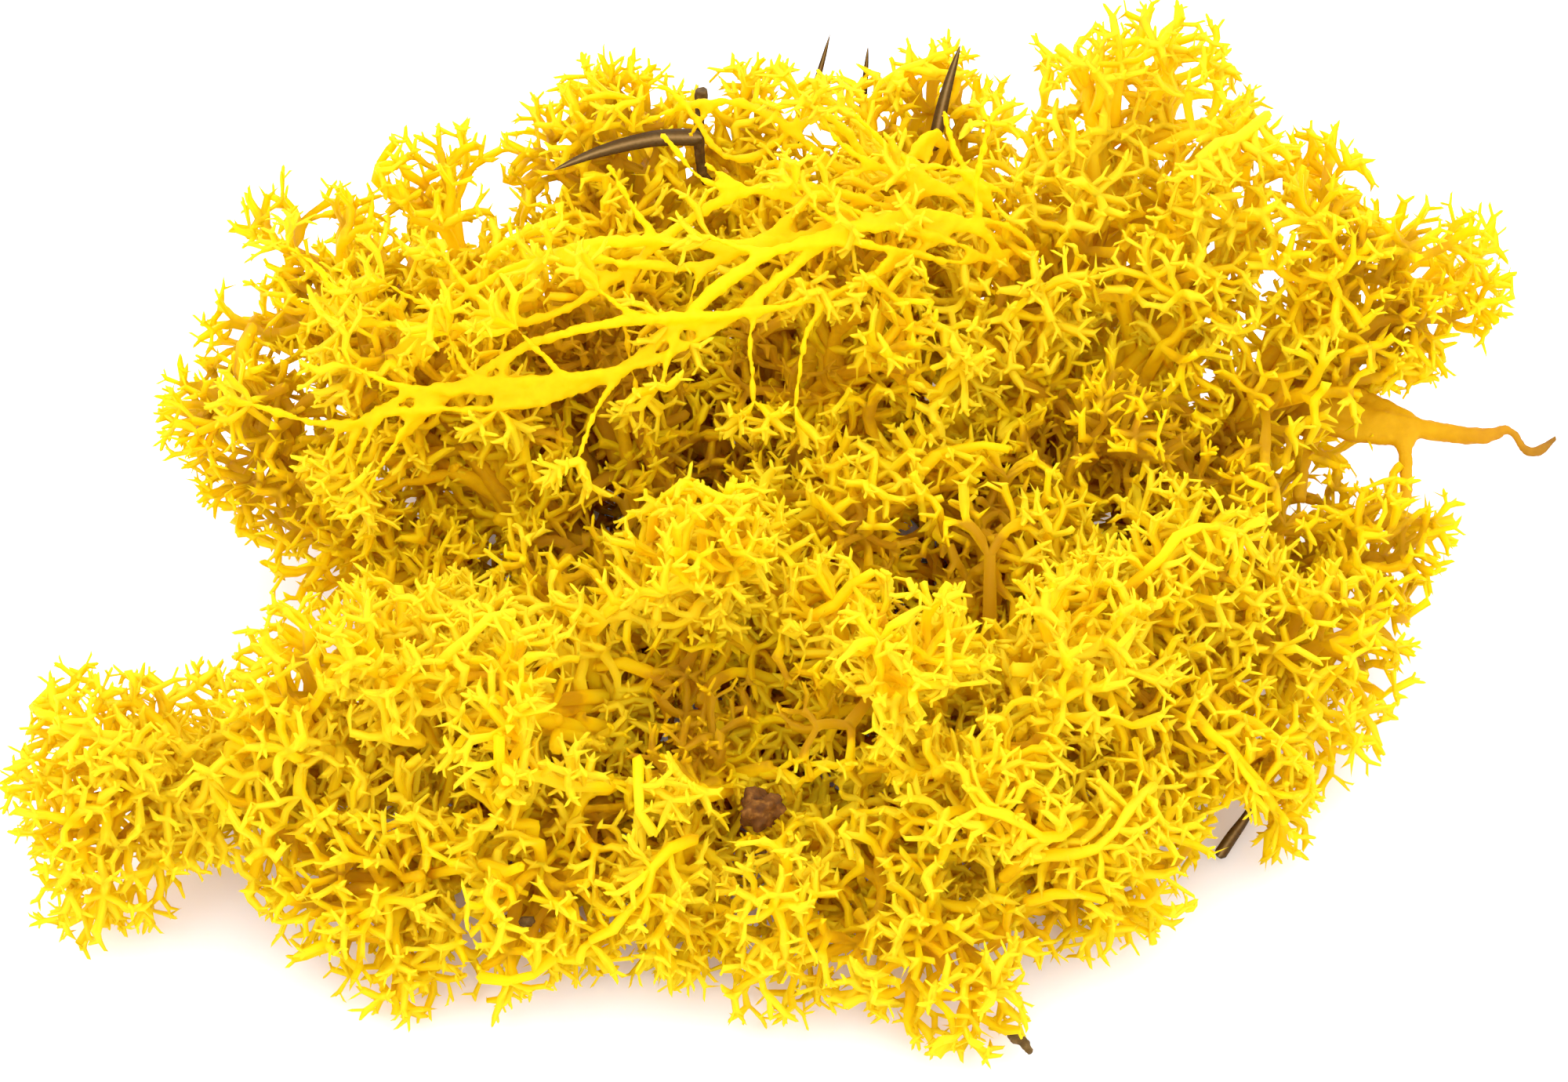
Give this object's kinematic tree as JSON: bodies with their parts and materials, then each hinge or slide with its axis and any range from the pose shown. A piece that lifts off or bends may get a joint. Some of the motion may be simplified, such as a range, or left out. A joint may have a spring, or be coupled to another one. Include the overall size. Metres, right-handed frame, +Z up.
{
  "type": "reindeer moss clump",
  "caption": "Clump of dyed yellow reindeer moss: forked lichen tufts matted together, with long bare stems, a dead stem, conifer needles and bark crumbs caught in it.",
  "frame": {"origin": "on the resting plane, under the middle tuft, in the flat spot of its foot", "axes": "+X along the clump's longest side, to the right as seen from the front; +Y towards the back, where it is highest; +Z up"},
  "size_m": [0.1673, 0.1167, 0.0565],
  "materials": {
    "moss": "matte dyed lichen, orange-brown in its depths",
    "long_stem": "matte dyed lichen, worn and a little darker",
    "dead_stem": "dry and dull, browner towards its tip",
    "needle": "dry, faintly waxy conifer needle",
    "bark": "dull dark bark"
  },
  "bodies": {
    "root": {"heart": "moss", "front_left_foot": "moss", "front_a": "moss", "front_b": "moss", "front_c": "moss", "front_d": "moss", "front_e": "moss", "front_f": "moss", "right_low": "moss", "right_tip": "moss", "arm_left_tip": "moss", "arm_left": "moss", "shoulder_left": "moss", "mound_a": "moss", "mound_b": "moss", "mound_c": "moss", "mound_d": "moss", "mound_e": "moss", "mound_f": "moss", "mound_g": "moss", "mound_h": "moss", "back_right": "moss", "back_right_low": "moss", "side_left_low": "moss", "side_left": "moss", "wing_left_tip": "moss", "wing_left": "moss", "top_a": "moss", "top_b": "moss", "top_c": "moss", "wing_right": "moss", "wing_right_low": "moss", "arm_right": "moss", "arm_right_tip": "moss", "ridge_a": "moss", "ridge_b": "moss", "ridge_c": "moss", "ridge_d": "moss", "valley": "moss", "mat_left": "moss", "mat_back": "moss", "mat_right": "moss", "mat_front": "moss", "back_low_a": "moss", "back_low_b": "moss", "back_low_c": "moss", "back_low_d": "moss", "long_stem_a": "long_stem", "long_stem_b": "long_stem", "long_stem_c": "long_stem", "dead_stem": "dead_stem", "needle_a": "needle", "needle_b": "needle", "needle_c": "needle", "needle_d": "needle", "needle_e": "needle", "twig_stub": "bark", "bark_crumb_a": "bark", "bark_crumb_b": "bark", "bark_crumb_c": "bark"}
  },
  "joints": []
}
